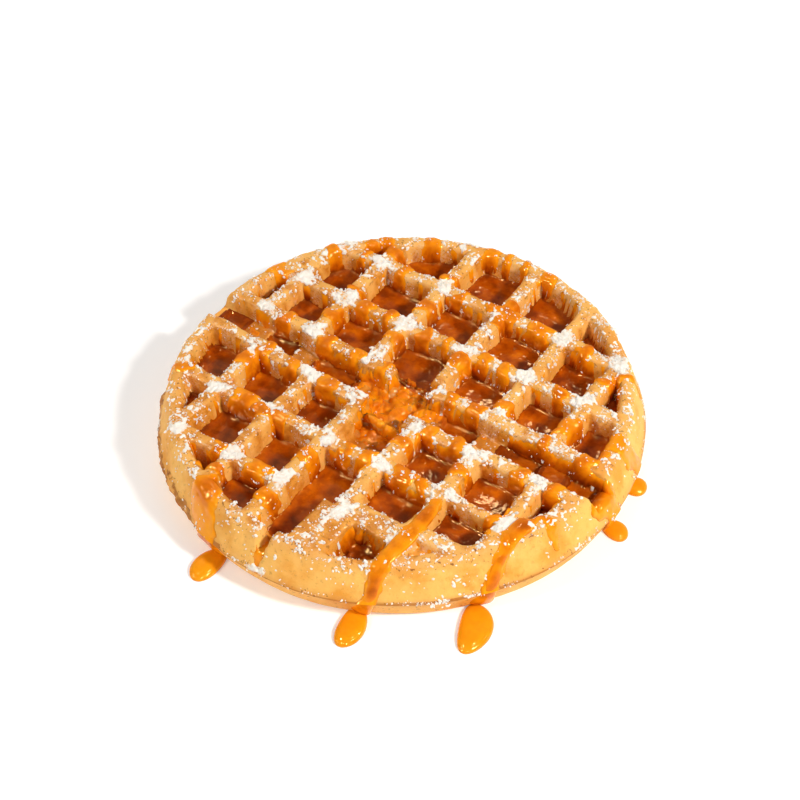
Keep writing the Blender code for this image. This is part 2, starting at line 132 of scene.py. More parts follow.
table_points = np.array([(-3000, -3000, 0), (3000, -3000, 0), (3000, 3000, 0), (-3000, 3000, 0)])
table = make_piece("table", table_points - (0, 0, 0.15), [(0, 1, 2, 3)])
table_paint = bpy.data.materials.new("white_table")
table_paint.use_nodes = True
table_shader = table_paint.node_tree.nodes["Principled BSDF"]
table_shader.inputs["Base Color"].default_value = (0.88, 0.88, 0.88, 1)
table_shader.inputs["Emission Color"].default_value = (1.0, 1.0, 1.0, 1)
table_shader.inputs["Emission Strength"].default_value = 0.22
table_shader.inputs["Roughness"].default_value = 0.6
table.data.materials.append(table_paint)

# The waffle's shape
# A thick round cake of batter baked between two plates of square studs. The plates' walls flare
# to a parting ring; the upper grid is set off along a groove that parts its two halves.

TOP_Z, PARTING_R, PARTING_Z = 24.2, 90.2, 10.3
CROWN_R, RIM_IN_R, SUMP_RIM_R = 82.5, 81.6, 86.0
SIDE = np.array([(0, 24.2), (83.0, 24.2), (84.9, 23.6), (85.8, 21.8), (89.4, 11.6), (90.2, 10.3)])
LEAN_WAY = math.radians(125.8)
LEAN = 1.4 * np.array([math.cos(LEAN_WAY), math.sin(LEAN_WAY)])
SOUTH_X = (-58.0, -33.0, -9.7, 14.6, 40.7, 66.3)
NORTH_X = (-68.4, -46.0, -18.0, 9.3, 36.3, 60.5)
SOUTH_Y, NORTH_Y = (-11.5, -34.6, -59.6), (6.0, 30.0, 55.0)
RIDGE_FLAT, EDGE_ROUND, DRAFT = 2.17, 2.0, math.tan(math.radians(7.0))
WELL_DEPTH, GROOVE_DEPTH, SPREAD = 12.0, 7.6, 3.2
SILLS_X, SILL = (-68.5, -43.5, 38.5, 66.5), 5.0
OPEN_END = 120.0


def waves(p, length, seed, rays=20):
    """Soft unevenness of about plus or minus one: the sum of plane waves of roughly this length,
    each in its own random direction and phase."""
    draw = np.random.default_rng(seed)
    way = draw.normal(size=(rays, p.shape[-1]))
    way /= np.linalg.norm(way, axis=1, keepdims=True)
    way *= 2 * np.pi / (length * draw.uniform(0.65, 1.6, (rays, 1)))
    phase = draw.uniform(0, 2 * np.pi, rays)
    return sum(np.cos(p @ w + f) for w, f in zip(way, phase)) * math.sqrt(1.2 / rays)


def step(low, high, value):
    """Rises smoothly from 0 at low to 1 at high: 3t squared less 2t cubed."""
    t = np.clip((value - low) / (high - low), 0, 1)
    return t * t * (3 - 2 * t)


def soft_max(a, b, width):
    """The larger of two, with the corner between them rounded over the width."""
    share = np.clip(0.5 + 0.5 * (a - b) / width, 0, 1)
    return b + (a - b) * share + width * share * (1 - share)


def box_distance(p, x0, x1, y0, y1, corner=2.6):
    """Distance to a rectangle with rounded corners, below zero inside."""
    low, high = np.array([min(x0, x1), min(y0, y1)]), np.array([max(x0, x1), max(y0, y1)])
    q = np.abs(p - (low + high) / 2) - (high - low) / 2 + corner
    return np.hypot(*np.moveaxis(np.maximum(q, 0), -1, 0)) + np.minimum(q.max(axis=-1), 0) - corner


def wall_depth(inset, depth, scale=1.0):
    """How deep a well is at this distance in from its outline: a quarter round, then a drafted
    wall, then a foot rounded into the floor."""
    reach = np.maximum(inset, 0) / scale
    curve = EDGE_ROUND * (1 - np.sqrt(1 - np.minimum(reach / EDGE_ROUND, 0.985) ** 2))
    wall = curve + np.maximum(reach - 0.985 * EDGE_ROUND, 0) / DRAFT
    return -soft_max(-wall, np.full_like(wall, -depth), 1.6) * (reach > 0)


def groove_shift(x):
    """How far north the groove lies of its usual place, near its west end."""
    return SPREAD * np.clip((-x - 36.0) / 24.0, 0, 1)


def spans(ridges):
    """The gaps between ridges, open at both ends."""
    edges = [-OPEN_END] + [e for r in ridges for e in (r - RIDGE_FLAT / 2, r + RIDGE_FLAT / 2)]
    edges.append(OPEN_END)
    return list(zip(edges[::2], edges[1::2]))


def row_of_wells(row, ridges, low, high, skip=()):
    """The wells of one row as (name, limits, depth, radius of the rim that cuts it)."""
    found = []
    for place, (x0, x1) in enumerate(spans(ridges)):
        shift = float(groove_shift((max(x0, -80) + min(x1, 80)) / 2))
        y0, y1 = low + shift * (0 < low < 20), high + shift * (-20 < high < 0)
        if place not in skip:
            found.append((f"{row}_{place}", (x0, x1, y0, y1), WELL_DEPTH, RIM_IN_R))
    return found


half_flat = RIDGE_FLAT / 2
wells = row_of_wells("s1", SOUTH_X, SOUTH_Y[1] + half_flat, SOUTH_Y[0] - half_flat, (3,))
wells += row_of_wells("s2", SOUTH_X, SOUTH_Y[2] + half_flat, SOUTH_Y[1] - half_flat, (3, 4, 5, 6))
wells += row_of_wells("s3", SOUTH_X, -OPEN_END, SOUTH_Y[2] - half_flat, (0, 3, 4, 5, 6))
wells += row_of_wells("n1", NORTH_X, NORTH_Y[0] + half_flat, NORTH_Y[1] - half_flat)
wells += row_of_wells("n2", NORTH_X, NORTH_Y[1] + half_flat, NORTH_Y[2] - half_flat, (0,))
wells += row_of_wells("n3", NORTH_X, NORTH_Y[2] + half_flat, OPEN_END)
# The wells that leave the grid's lines, beside the middle, the trough and the rim.
wells += [
    ("s1_3", (-8.6, 13.5, -33.5, -12.6), 9.6, RIM_IN_R),
    ("s2_4", (15.7, 39.6, -54.6, -35.7), 12.0, RIM_IN_R),
    ("s2_5", (41.8, 65.2, -51.5, -34.0), 11.0, RIM_IN_R),
    ("s3_4", (21.5, 39.5, -83.0, -60.5), 10.5, 84.6),
    ("s3_5", (43.5, 60.0, -66.0, -54.5), 3.2, RIM_IN_R),
    ("n2_0", (-80.0, -71.5, 32.5, 42.0), 6.0, RIM_IN_R),
]
sump_ends = [(-90.0, SILLS_X[0]), (SILLS_X[0], SILLS_X[1]), (SILLS_X[1], -15.0)]
sump_ends += [(14.0, SILLS_X[2]), (SILLS_X[2], SILLS_X[3]), (SILLS_X[3], 90.0)]
for place, (x0, x1) in enumerate(sump_ends):
    shift = float(groove_shift((x0 + x1) / 2))
    y0, y1 = SOUTH_Y[0] + half_flat + shift + 0.35, NORTH_Y[0] - half_flat + shift - 0.35
    box = (x0 + SILL / 2 * (x0 > -90), x1 - SILL / 2 * (x1 < 90), y0, y1)
    wells.append((f"g_{place}", box, WELL_DEPTH - 0.4, SUMP_RIM_R))


def well_distance(p, box, rim):
    """Distance to a well's outline: its rectangle cut by the rim's inner edge."""
    return soft_max(box_distance(p, *box), np.linalg.norm(p - LEAN, axis=-1) - rim, 1.5)


def trough_distance(p):
    """Distance to the trough: a wide part beside the middle and a narrow one to the rim."""
    wide = box_distance(p, -8.6, 13.5, -35.7, -60.0)
    narrow = box_distance(p, -8.6, 9.0, -50.0, -83.0)
    rim = np.linalg.norm(p - LEAN, axis=-1) - RIM_IN_R
    return soft_max(-soft_max(-wide, -narrow, 1.0), rim, 1.5)


def uneven(p):
    """The plan points after the small wanderings of hand-poured batter, about half a millimetre."""
    shift = [0.45 * waves(p, 24, s) + 0.16 * waves(p, 7, s + 50) for s in (3, 4)]
    return p + np.stack(shift, axis=-1)


# A well that the rim leaves too narrow for its full walls is scaled down, or left out.
well_scale = {}
probe = np.stack(np.meshgrid(np.arange(-86, 86.1, 1.0), np.arange(-86, 86.1, 1.0)), axis=-1)
for name, box, depth, rim in wells:
    reach = -well_distance(probe, box, rim).min()
    full = 0.97 * EDGE_ROUND + DRAFT * (depth - 3.2) + 1.2
    well_scale[name] = min(1.0, max(reach - 0.8, 0.3) / full) if reach > 2.0 else 0.0


def within(p, box):
    """Whether plan points lie in a rectangle."""
    return (p[..., 0] > box[0]) & (p[..., 0] < box[1]) & (p[..., 1] > box[2]) & (p[..., 1] < box[3])


def notch_inset(p):
    """Distance in from the outline of the notch that the trough cuts through the rim."""
    return -box_distance(p, -3.4, 4.4, -76.0, -100.0, 1.2)


def upper_depth(plan):
    """How far the upper face lies below its highest level at each plan point: the deepest there of
    the wells, the groove, the middle and the trough."""
    p = uneven(plan)
    depth = np.zeros(p.shape[:-1])
    for name, box, deep, rim in wells:
        if not well_scale[name]:
            continue
        near = within(p, box)
        inset = -well_distance(p[near], box, rim)
        depth[near] = np.maximum(depth[near], wall_depth(inset, deep, well_scale[name]))
    shift = groove_shift(p[..., 0])
    south, north = SOUTH_Y[0] + half_flat + shift, NORTH_Y[0] - half_flat + shift
    bank = np.minimum(p[..., 1] - south, north - p[..., 1])
    depth = np.maximum(depth, wall_depth(bank, GROOVE_DEPTH))
    middle = -box_distance(p, -9.5, 11.5, -17.0, 12.0)
    depth = np.where(middle > 0, soft_max(depth, wall_depth(middle, 9.4), 1.2), depth)
    trough = soft_max(-trough_distance(p), notch_inset(p), 1.0)
    return np.maximum(depth, wall_depth(trough, WELL_DEPTH))


def near_ragged_well(plan, outer, inner):
    """One in the ragged well at the front, falling to nought at the outer distance."""
    return step(outer, inner, np.hypot(plan[..., 0] - 30, (plan[..., 1] + 66) / 1.1))


def crumbling(plan):
    """Where the bake tore: the open middle and a place west of it, the lump beside the trough and
    the ragged well."""
    x, y = plan[..., 0], plan[..., 1]
    middle = step(19, 9, np.hypot((x - 1) / 1.1, (y + 5) / 1.25))
    lump = step(13, 6, np.hypot(x - 14, (y + 68) / 1.3))
    west = step(16, 8, np.hypot((x + 26) / 1.2, y + 2)) * 0.7
    return np.clip(middle + lump * 0.8 + near_ragged_well(plan, 12, 7) + west, 0, 1)


def packed_lines(ridges, count, end):
    """Places along an axis from -end to end, packed closest where walls stand beside ridges."""
    x = np.linspace(-end, end, 8001)
    density = np.full_like(x, 1.0) - 0.35 * (np.abs(x) > 84)
    for ridge in ridges:
        off = np.abs(x - ridge)
        density += 1.25 * step(0.4, 1.2, off) * step(5.2, 4.2, off)
    total = np.concatenate([[0], np.cumsum((density[1:] + density[:-1]) / 2)])
    return np.interp(np.linspace(0, total[-1], count), total, x)


def side_line(points, spacing=0.25, rounding=5):
    """A profile resampled evenly along its length, its corners rounded by a running mean."""
    along = np.concatenate([[0], np.cumsum(np.hypot(*np.diff(points, axis=0).T))])
    where = np.linspace(0, along[-1], int(along[-1] / spacing))
    line = np.column_stack([np.interp(where, along, points[:, k]) for k in (0, 1)])
    padded = np.concatenate([np.repeat(line[:1], rounding, 0), line, np.repeat(line[-1:], rounding, 0)])
    kernel = np.ones(2 * rounding + 1) / (2 * rounding + 1)
    smooth = np.column_stack([np.convolve(padded[:, k], kernel, "valid") for k in (0, 1)])
    smooth[0], smooth[-1] = line[0], line[-1]
    return where, smooth


def round_plan(x, y, inner, outer):
    """Pulls a square grid into a disc: points inside the inner radius stay, and the rest of each
    ray from there to the square's edge is squeezed to end at the outer radius."""
    distance = np.hypot(x, y)
    square = outer * distance / np.maximum(np.maximum(np.abs(x), np.abs(y)), 1e-9)
    beyond = np.maximum(distance - inner, 0) / np.maximum(square - inner, 1e-9)
    reach = np.where(distance > inner, inner + beyond * (outer - inner), distance)
    return x * reach / np.maximum(distance, 1e-9), y * reach / np.maximum(distance, 1e-9), reach


def wobble(angle):
    """The rim's unevenness: two slow waves round it and a quicker one."""
    return 0.3 * np.sin(2 * angle + 0.7) + 0.2 * np.sin(5 * angle + 2.1) + 0.1 * np.sin(13 * angle)


def upper_surface(count):
    """The whole upper side, from its middle over the rim and down the flared side to the parting
    ring, as a square grid of points drawn into a disc and folded down over the profile."""
    where, line = side_line(SIDE)
    end = where[-1]
    fraction = step(-9.0, 3.5, packed_lines(SOUTH_Y + NORTH_Y, count, end))[:, None]
    x = (packed_lines(SOUTH_X, count, end)[None, :] * (1 - fraction)
         + packed_lines(NORTH_X, count, end)[None, :] * fraction)
    y = np.repeat(packed_lines(SOUTH_Y + NORTH_Y, count, end)[:, None], count, axis=1)
    x, y, reach = round_plan(x, y, CROWN_R, end)
    angle = np.arctan2(y, x)
    radius, height = np.interp(reach, where, line[:, 0]), np.interp(reach, where, line[:, 1])
    radius = radius + wobble(angle) * step(60, 84, reach)
    share = step(66, 82, reach) * np.clip((height - PARTING_Z) / 11.7, 0, 1)
    plan = np.stack([radius * np.cos(angle), radius * np.sin(angle)], axis=-1)
    plan = plan + LEAN * share[..., None]
    depth = upper_depth(plan) * (height > PARTING_Z + 0.6)
    swell = 0.3 * waves(plan, 19, 11) * step(PARTING_Z, PARTING_Z + 6, height)
    level = np.minimum(height, TOP_Z - depth) + swell
    points = np.dstack([plan, level])
    return points, depth


def grid_normals(points):
    """Outward directions on a grid of points: the cross product of its two slopes."""
    n = np.cross(np.gradient(points, axis=1), np.gradient(points, axis=0))
    return n / np.maximum(np.linalg.norm(n, axis=-1, keepdims=True), 1e-9)


def roughened(points, depth):
    """The surface pushed out and in along its normals: a fine crumb all over, and lumps of a
    millimetre and more where the bake crumbled."""
    n = grid_normals(points)
    torn = crumbling(points[..., :2]) * step(1.0, 4.0, depth)
    calm = step(PARTING_R - 0.1, PARTING_R - 3.0, np.hypot(points[..., 0], points[..., 1]))
    fine = 0.10 * waves(points, 2.6, 21) + 0.10 * waves(points, 5.5, 22)
    lumps = 0.75 * waves(points, 6.0, 23) + 0.45 * waves(points, 2.8, 24)
    push = (fine * step(0.0, 2.0, TOP_Z - points[..., 2] + 1.0) + lumps * torn) * calm
    return points + n * push[..., None]


FINE = 441
fine_points, fine_depth = upper_surface(FINE)
fine_points = roughened(fine_points, fine_depth)
fine_normals = grid_normals(fine_points)

# The underside: an even grid of shallower wells whose ridges stand flat on the table.
UNDER_SIDE = np.array([(0, 0.0), (85.2, 0.0), (86.8, 1.6), (89.5, 9.1), (90.15, 10.1)])
UNDER_COUNT, UNDER_PITCH, UNDER_DEPTH = 161, 25.0, 7.6


def under_depth(plan):
    """How far the underside rises above the table: the deepest of an even grid of wells."""
    depth = np.zeros(plan.shape[:-1])
    for i in range(-4, 4):
        for j in range(-4, 4):
            x, y = (i + 0.5) * UNDER_PITCH, (j + 0.5) * UNDER_PITCH
            box = (x - 10, x + 10, y - 10, y + 10)
            reach = -well_distance(probe, box, 82.5).min()
            near = np.abs(plan - (x, y)).max(axis=-1) < 10
            if reach > 2.6 and near.any():
                scale = min(1.0, (reach - 1.0) / 2.7)
                inset = np.maximum(-well_distance(plan[near], box, 82.5), 0) / scale
                rise = np.where(inset < 1.2, inset, 1.2 + (inset - 1.2) * 4.2)
                depth[near] = -soft_max(-rise, np.full_like(rise, -UNDER_DEPTH), 1.0) * (inset > 0)
    return depth


def under_surface():
    """The lower side, from its middle out and up the flared side to the parting ring."""
    where, line = side_line(UNDER_SIDE)
    end = where[-1]
    lines = packed_lines([k * UNDER_PITCH for k in range(-3, 4)], UNDER_COUNT, end)
    x, y = np.meshgrid(lines, lines)
    x, y, reach = round_plan(x, y, 85.2, end)
    angle = np.arctan2(y, x)
    radius, height = np.interp(reach, where, line[:, 0]), np.interp(reach, where, line[:, 1])
    radius = radius + wobble(angle) * step(60, 84, reach)
    plan = np.stack([radius * np.cos(angle), radius * np.sin(angle)], axis=-1)
    inner = under_depth(plan)
    return np.dstack([plan, np.maximum(height, inner)])


def edge_loop(rows, columns):
    """Numbers of a grid's outer points, once round."""
    index = np.arange(rows * columns).reshape(rows, columns)
    return np.concatenate([index[0, :-1], index[:-1, -1], index[-1, :0:-1], index[:0:-1, 0]])


def joined_rings(upper, lower, points):
    """Triangles that close the gap between two rings of points, each ring taken by its angle:
    every edge of one ring meets the point of the other that its end has just passed."""
    def by_angle(ring):
        turned = np.arctan2(points[ring, 1], points[ring, 0])
        order = np.argsort(turned)
        return ring[order], turned[order]

    upper, a = by_angle(upper)
    lower, b = by_angle(lower)
    m, n, turn = len(upper), len(lower), 2 * np.pi
    next_a, next_b = np.append(a[1:], a[0] + turn), np.append(b[1:], b[0] + turn)
    reach_b = np.searchsorted(np.append(b, b + turn), next_a, side="left") - 1
    reach_a = np.searchsorted(np.append(a, a + turn), next_b, side="right") - 1
    from_upper = np.column_stack([np.roll(upper, -1), upper, lower[reach_b % n]])
    from_lower = np.column_stack([lower, np.roll(lower, -1), upper[reach_a % m]])
    return np.concatenate([from_upper, from_lower])


FLASH_WAY, FLASH_OUT = math.radians(212), 0.7


def flash(points):
    """Share of the scorched flash that batter left at the parting ring, round one side of it."""
    x, y, z = np.moveaxis(points, -1, 0)
    near = step(4.4, 2.4, np.abs(z - PARTING_Z) + 0.8 * waves(points, 5, 36))
    return near * step(86.0, 87.5, np.hypot(x, y)) * step(0.5, 0.8, np.cos(np.arctan2(y, x) - FLASH_WAY))


under_points = under_surface()
coarse_normals = fine_normals[::2, ::2]
coarse_points = fine_points[::2, ::2]
lip = flash(coarse_points)
lumpy = np.clip(0.7 * waves(coarse_points, 6.5, 37) + 0.45 * waves(coarse_points, 2.4, 38) + 0.1, 0, 1.3)
coarse_points = coarse_points + coarse_normals * (FLASH_OUT * lip * lumpy)[..., None]
rows = coarse_points.shape[0]
crust_points = np.concatenate([coarse_points.reshape(-1, 3), under_points.reshape(-1, 3)])
upper_count = rows * rows
upper_faces = grid_faces(rows, rows)
under_faces = grid_faces(UNDER_COUNT, UNDER_COUNT)[:, ::-1] + upper_count
seam = joined_rings(edge_loop(rows, rows), edge_loop(UNDER_COUNT, UNDER_COUNT) + upper_count,
                    crust_points)


def split_quads(faces):
    """Two triangles for each four-cornered face."""
    return np.concatenate([faces[:, (0, 1, 2)], faces[:, (0, 2, 3)]])


all_faces = np.concatenate([split_quads(upper_faces), split_quads(under_faces), seam])
waffle = make_piece("waffle_cake", crust_points, all_faces)
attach(waffle, "root")
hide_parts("waffle")


def set_values(piece, name, values):
    """A number for each point of the piece, for its material to read."""
    layer = piece.data.attributes.new(name, "FLOAT", "POINT")
    layer.data.foreach_set("value", np.asarray(values, dtype=np.float32).ravel())


# The crust
# Golden baked batter: pale and even on the flared side, richer and glazed with syrup in the wells,
# browned in specks along the rim, with powdered sugar clinging to what faces up. The walls are drawn
# darker towards the wells' floors, which is painted shade, and paler where they face the key light,
# which is painted light.


def near_any(values, places, width):
    """One where a value is at one of the places, falling to nought at the width."""
    gap = np.min([np.abs(values - place) for place in places], axis=0)
    return step(width, width * 0.3, gap)


def sugar_cover(points, normals, depth):
    """Share of the surface under powdered sugar: most at the ridges' crossings, some along their
    tops and the rim, a little on the walls, and a trace along the parting ring. The second value
    is one along that ring."""
    x, y, z = np.moveaxis(points, -1, 0)
    radius = np.hypot(x, y)
    south = step(2.0, -6.0, y)
    crossing = near_any(y, SOUTH_Y + NORTH_Y, 6.5) * (
        south * near_any(x, SOUTH_X, 6.5) + (1 - south) * near_any(x, NORTH_X, 6.5))
    patch = np.clip(0.5 + 0.6 * waves(points[..., :2], 10, 31), 0, 1)
    top = step(4.5, 1.0, depth) * step(88.0, 84.5, radius) * step(0.3, 0.8, normals[..., 2])
    walls = step(11.0, 5.0, depth) * step(0.5, 2.0, depth) * step(82, 80, radius)
    ring = step(1.8, 0.3, np.abs(z - PARTING_Z - 0.3)) * step(87.5, 89.0, radius)
    cover = top * (0.42 + 0.62 * crossing) * (0.4 + 0.8 * patch) + 0.13 * walls * patch
    ledge = step(5.0, 3.0, np.abs(x - 0.5)) * step(13.5, 12.0, z) * (y < -84) * (z > PARTING_Z)
    return np.clip(cover + 0.5 * ring * patch + 0.75 * ledge + 0.008, 0, 1), ring


coarse_plan = coarse_points[..., :2]
x_c, y_c = np.moveaxis(coarse_plan, -1, 0)
radius_c, depth_c = np.hypot(x_c, y_c), fine_depth[::2, ::2]
sugar, ring_line = sugar_cover(coarse_points, coarse_normals, depth_c)
along_x = np.abs(coarse_normals[..., 1]) > np.abs(coarse_normals[..., 0])
left_side = step(-30.0, 75.0, -0.81 * x_c - 0.585 * y_c + 12 * waves(coarse_plan, 30, 34))
# The wet glaze is the syrup that soaked in. It is cut back on the walls facing +X, where the key light
# falls, so those walls are drawn paler: painted light.
lit = step(0.3, 0.8, coarse_normals[..., 0])
wet_paler_where_lit = step(0.5, 3.5, depth_c) * (0.5 + 0.2 * along_x - 0.5 * lit) + 0.3 * waves(coarse_plan, 7, 32)
wet_paler_where_lit = np.clip(wet_paler_where_lit + 0.1 + 0.35 * left_side, 0, 1) * step(83.5, 80, radius_c)
torn_c = crumbling(coarse_plan)
wet_paler_where_lit = wet_paler_where_lit + torn_c
# The foot is painted shade: the walls are drawn darker and warmer towards the wells' floors, as if from
# shade and light bounced off the syrup, and less so on the walls the key light falls on. In the ragged
# well it stands for real charring.
foot = step(3.5, 10.0, depth_c) * step(83, 80, radius_c) * (1 - 0.5 * lit)
foot = np.maximum(foot, near_ragged_well(coarse_plan, 13, 8) * step(1.5, 5.0, depth_c))
front = step(40.0, 75.0, x_c * 0.585 - y_c * 0.811)
toast = step(85.2, 83.6, radius_c) * step(4.0, 1.0, depth_c)
toast = np.clip(toast * (0.45 + step(79, 81, radius_c) * (0.1 + 0.3 * front)), 0, 0.85)
scorch = np.clip(lip * (1.1 + 0.4 * waves(coarse_points, 4, 35)), 0, 1)
toast = np.maximum(np.maximum(toast, ring_line), scorch)
veil = step(0.0, -0.5, coarse_normals[..., 1]) * step(11.0, 7.0, depth_c) * step(83, 80, radius_c)
veil = veil * (0.5 + 0.7 * waves(coarse_plan, 8, 33)) * (1 - torn_c)
veil = np.clip(veil + 0.6 * sugar, 0, 1)
blank = np.zeros(UNDER_COUNT ** 2)
under_toast = 0.3 + 0.6 * step(7.0, 10.0, under_points[..., 2]) * step(88, 89.5, np.hypot(
    under_points[..., 0], under_points[..., 1]))
set_values(waffle, "foot", np.concatenate([foot.ravel(), blank]))
set_values(waffle, "veil", np.concatenate([veil.ravel(), blank]))
set_values(waffle, "sugar", np.concatenate([sugar.ravel(), blank]))
set_values(waffle, "wet_paler_where_lit", np.concatenate([np.clip(wet_paler_where_lit, 0, 1).ravel(), blank]))
set_values(waffle, "toast", np.concatenate([toast.ravel(), under_toast.ravel()]))


class Nodes:
    """Short ways to add and join nodes in one material or group."""

    def __init__(self, tree):
        self.tree = tree

    def add(self, kind, **settings):
        node = self.tree.nodes.new(kind)
        for key, value in settings.items():
            if hasattr(node, key):
                setattr(node, key, value)
            else:
                node.inputs[key].default_value = value
        return node

    def join(self, source, target):
        self.tree.links.new(source, target)

    def value(self, name):
        return self.add("ShaderNodeAttribute", attribute_name=name).outputs["Fac"]

    def noise(self, scale, detail=3.0, roughness=0.55):
        node = self.add("ShaderNodeTexNoise", Scale=scale, Detail=detail, Roughness=roughness)
        self.join(self.place(), node.inputs["Vector"])
        return node.outputs["Fac"]

    def place(self):
        return self.add("ShaderNodeTexCoord").outputs["Object"]

    def ramp(self, source, low, high):
        """0 below low and 1 above high."""
        node = self.add("ShaderNodeMapRange", interpolation_type="SMOOTHSTEP")
        node.inputs["From Min"].default_value = low
        node.inputs["From Max"].default_value = high
        self.join(source, node.inputs["Value"])
        return node.outputs["Result"]

    def math(self, operation, a, b):
        node = self.add("ShaderNodeMath", operation=operation)
        for socket, value in zip(node.inputs, (a, b)):
            if isinstance(value, (int, float)):
                socket.default_value = value
            else:
                self.join(value, socket)
        return node.outputs["Value"]

    def blend(self, share, a, b):
        node = self.add("ShaderNodeMix", data_type="RGBA")
        colours = [s for s in node.inputs if s.type == "RGBA"]
        for socket, value in zip([node.inputs["Factor"]] + colours, (share, a, b)):
            if isinstance(value, (int, float, tuple)):
                socket.default_value = value
            else:
                self.join(value, socket)
        return [s for s in node.outputs if s.type == "RGBA"][0]

    def bump(self, height, distance, strength=0.5):
        node = self.add("ShaderNodeBump", Strength=strength, Distance=distance)
        self.join(height, node.inputs["Height"])
        return node.outputs["Normal"]


def new_material(name):
    """A material with a Principled shader, and the helper to add nodes to it."""
    made = bpy.data.materials.new(name)
    made.use_nodes = True
    return made, Nodes(made.node_tree), made.node_tree.nodes["Principled BSDF"]


PALE, GOLD, CARAMEL = (0.88, 0.47, 0.108, 1), (0.76, 0.31, 0.034, 1), (0.56, 0.175, 0.010, 1)
DAPPLE, FOOT_SHADE_AND_CHAR, TOASTED = (0.66, 0.24, 0.022, 1), (0.46, 0.12, 0.006, 1), (0.60, 0.235, 0.045, 1)
SCORCHED, SPECK, DUSTED = (0.38, 0.11, 0.009, 1), (0.25, 0.068, 0.006, 1), (0.84, 0.60, 0.39, 1)
WHITE_SUGAR = (0.88, 0.80, 0.71, 1)

crust, n, shader = new_material("baked_crust")
mottle = n.noise(60.0, 4.0, 0.6)
base = n.blend(n.ramp(mottle, 0.42, 0.68), PALE, GOLD)
# Glaze from the soaked-in syrup, less on the walls the key light falls on, which is painted light.
soaked_paler_where_lit = n.ramp(n.math("ADD", n.value("wet_paler_where_lit"), n.math("MULTIPLY", n.noise(170.0, 3.0), 0.8)), 0.55, 1.0)
base = n.blend(n.math("MULTIPLY", soaked_paler_where_lit, 0.8), base, GOLD)
dapple = n.ramp(n.noise(420.0, 3.0, 0.6), 0.45, 0.66)
dapple = n.math("MULTIPLY", dapple, n.math("ADD", n.value("wet_paler_where_lit"), 0.2))
base = n.blend(n.math("MULTIPLY", dapple, 0.5), base, DAPPLE)
streaks = n.math("MULTIPLY", soaked_paler_where_lit, n.ramp(n.noise(240.0, 3.0), 0.42, 0.6))
base = n.blend(n.math("MULTIPLY", streaks, 0.8), base, CARAMEL)
# Painted shade towards the wells' floors, and real charring in the ragged well.
base = n.blend(n.math("MULTIPLY", n.value("foot"), 0.7), base, FOOT_SHADE_AND_CHAR)
base = n.blend(n.math("MULTIPLY", n.value("toast"), 0.45), base, TOASTED)
scorched = n.math("MULTIPLY", n.ramp(n.value("toast"), 0.85, 1.0), 0.8)
base = n.blend(scorched, base, SCORCHED)
specks = n.ramp(n.noise(750.0, 3.0, 0.55), 0.595, 0.66)
browned = n.math("MULTIPLY", specks, n.math("ADD", n.value("toast"), 0.2))
base = n.blend(browned, base, SPECK)
powder = n.math("MULTIPLY", n.value("veil"), n.ramp(n.noise(1300.0, 3.0, 0.6), 0.38, 0.62))
base = n.blend(n.math("MULTIPLY", powder, 0.42), base, DUSTED)
clump = n.noise(700.0, 4.0, 0.65)
dust = n.ramp(n.math("SUBTRACT", n.value("sugar"), n.math("MULTIPLY", clump, 1.55)), -0.28, 0.02)
base = n.blend(n.math("MULTIPLY", dust, 0.85), base, WHITE_SUGAR)
n.join(base, shader.inputs["Base Color"])
gloss = n.math("SUBTRACT", 0.6, n.math("MULTIPLY", soaked_paler_where_lit, 0.42))
n.join(n.math("MAXIMUM", gloss, n.math("MULTIPLY", dust, 0.85)), shader.inputs["Roughness"])
pores = n.math("ADD", n.math("MULTIPLY", n.noise(1100.0, 3.0), 0.4), n.math("MULTIPLY", dust, 0.5))
relief = n.math("ADD", pores, n.math("MULTIPLY", mottle, 0.8))
n.join(n.bump(relief, 0.0006, 0.6), shader.inputs["Normal"])
shader.inputs["Specular IOR Level"].default_value = 0.28
shader.inputs["Specular Tint"].default_value = (1.0, 0.82, 0.55, 1)
shader.inputs["Subsurface Weight"].default_value = 0.15
shader.inputs["Subsurface Radius"].default_value = (0.003, 0.0012, 0.0005)
shader.inputs["Subsurface Scale"].default_value = 1.0
waffle.data.materials.append(crust)

# The syrup in the wells and over the ridges
# Amber syrup, poured from a spoon in bands across the ridges, so that it coats their tops, runs
# down the walls and stands in the wells, where its depth makes it dark. It is drawn darker still
# low on the walls, just above the pools and where the pools are shallow against the walls, which is
# painted shade.

# For each ridge, the bands that cross it: how far along the ridge, and how wide.
BANDS_OVER_Y = {
    55.0: ((-54.5, 4.5), (-36.0, 4), (-8.5, 4), (12.0, 8), (26.0, 8), (47.0, 5)),
    30.0: ((-36.5, 6.5), (-25.5, 4.5), (-8.5, 4), (2.0, 3.5), (18.0, 4.5), (27.0, 4.5), (50.0, 6.5)),
    6.0: ((-58.0, 5), (-37.0, 6), (-24.0, 5), (-11.0, 5), (18.5, 5), (29.5, 5), (58.0, 4), (75.0, 8)),
    -11.5: ((-54.0, 6), (-41.0, 6), (-24.0, 9), (21.5, 5), (32.5, 5), (59.0, 4.5), (73.0, 4.5)),
    -34.6: ((-45.0, 11), (0.5, 5), (9.0, 4.5), (25.0, 9), (33.5, 4), (62.0, 4)),
    -59.6: ((-38.0, 4), (-20.0, 10)),
}
BANDS_OVER_X = {
    -46.0: ((62.0, 5), (35.0, 3), (19.0, 6)),
    -18.0: ((61.0, 3.5), (42.0, 6.5), (21.0, 5)),
    9.3: ((56.0, 5), (24.0, 6)),
    36.3: ((13.0, 5),),
    60.5: ((43.0, 3.5), (17.5, 9)),
    -58.0: ((-19.0, 6),),
    -33.0: ((-37.0, 5), (-68.0, 5)),
    -9.7: ((-46.0, 6.5), (-69.0, 6)),
    14.6: ((-22.5, 5),),
    40.7: ((-22.5, 5.5),),
}
